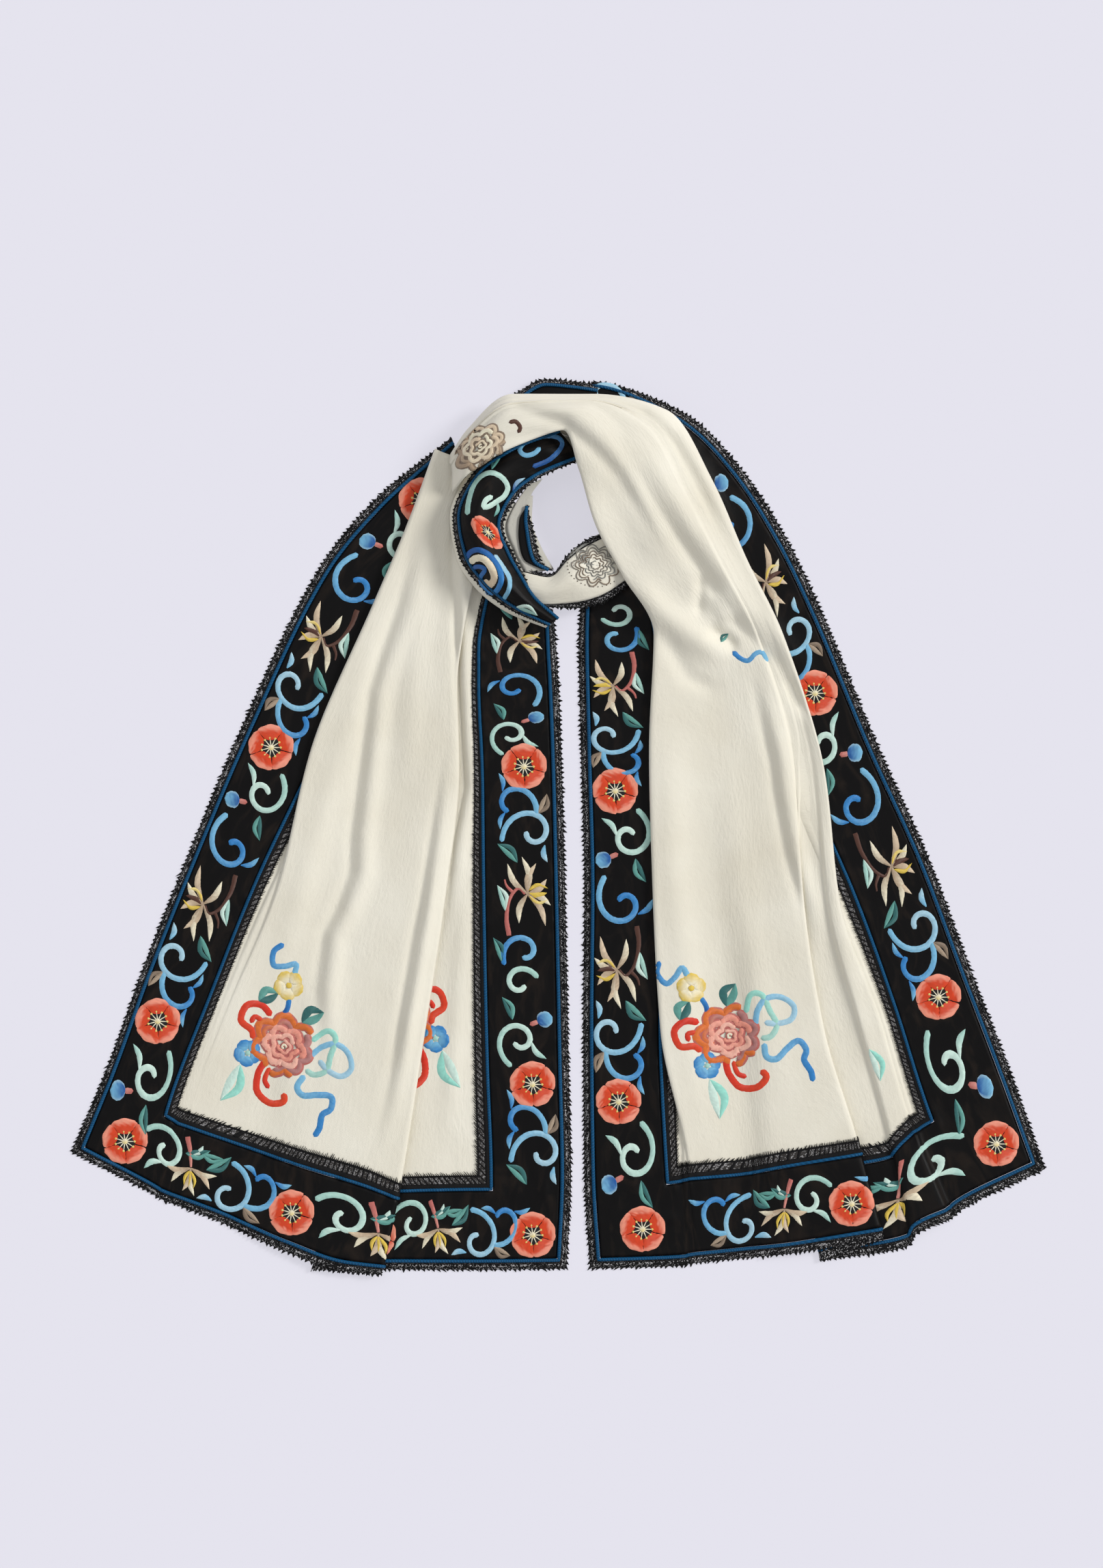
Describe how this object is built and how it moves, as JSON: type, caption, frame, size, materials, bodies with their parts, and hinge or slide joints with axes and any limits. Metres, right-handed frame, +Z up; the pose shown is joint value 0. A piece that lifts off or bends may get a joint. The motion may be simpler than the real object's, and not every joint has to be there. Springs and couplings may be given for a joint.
{
  "type": "embroidered scarf",
  "caption": "Long ivory wool scarf with an embroidered black satin border, laid flat and wound once round an open neck hole, with two fanned and pleated tails",
  "frame": {"origin": "centre of the box that the laid-out scarf fills, on the surface it lies on", "axes": "+Z up off the surface, +X to the right and +Y towards the neck hole as laid out, with the two hems at -Y"},
  "size_m": [0.858, 0.7883, 0.0448],
  "materials": {
    "wool": "ivory crepe wool, matt, finely crinkled",
    "satin": "near-black satin with a soft sheen, embroidered in coloured silks",
    "piping": "bright blue twisted cord piping",
    "lace": "black cotton bobbin lace with picots"
  },
  "bodies": {
    "root": {"back_picot_lace": "lace", "back_piping": "piping", "back_satin_band": "satin", "left_tail_hem_inner_piping": "piping", "left_tail_hem_insertion_lace": "lace", "left_tail_hem_outer_piping": "piping", "left_tail_hem_picot_lace": "lace", "left_tail_hem_satin_band": "satin", "left_tail_inner_inner_piping": "piping", "left_tail_inner_insertion_lace": "lace", "left_tail_inner_outer_piping": "piping", "left_tail_inner_picot_lace": "lace", "left_tail_inner_satin_band": "satin", "left_tail_outer_inner_piping": "piping", "left_tail_outer_insertion_lace": "lace", "left_tail_outer_outer_piping": "piping", "left_tail_outer_picot_lace": "lace", "left_tail_outer_satin_band": "satin", "left_tail_wool": "wool", "loop_back_layers": "wool", "loop_bottom_layers": "wool", "loop_bottom_lower_lace": "lace", "loop_bottom_upper_lace": "lace", "loop_bottom_wool": "wool", "loop_inside_wool": "wool", "loop_left_inner_piping": "piping", "loop_left_insertion_lace": "lace", "loop_left_layers": "wool", "loop_left_outer_piping": "piping", "loop_left_picot_lace": "lace", "loop_left_satin_band": "satin", "loop_left_wool": "wool", "loop_right_layers": "wool", "right_tail_hem_inner_piping": "piping", "right_tail_hem_insertion_lace": "lace", "right_tail_hem_outer_piping": "piping", "right_tail_hem_picot_lace": "lace", "right_tail_hem_satin_band": "satin", "right_tail_inner_inner_piping": "piping", "right_tail_inner_insertion_lace": "lace", "right_tail_inner_outer_piping": "piping", "right_tail_inner_picot_lace": "lace", "right_tail_inner_satin_band": "satin", "right_tail_outer_inner_piping": "piping", "right_tail_outer_insertion_lace": "lace", "right_tail_outer_outer_piping": "piping", "right_tail_outer_picot_lace": "lace", "right_tail_outer_satin_band": "satin", "right_tail_wool": "wool", "wrap_wool": "wool"}
  },
  "joints": []
}
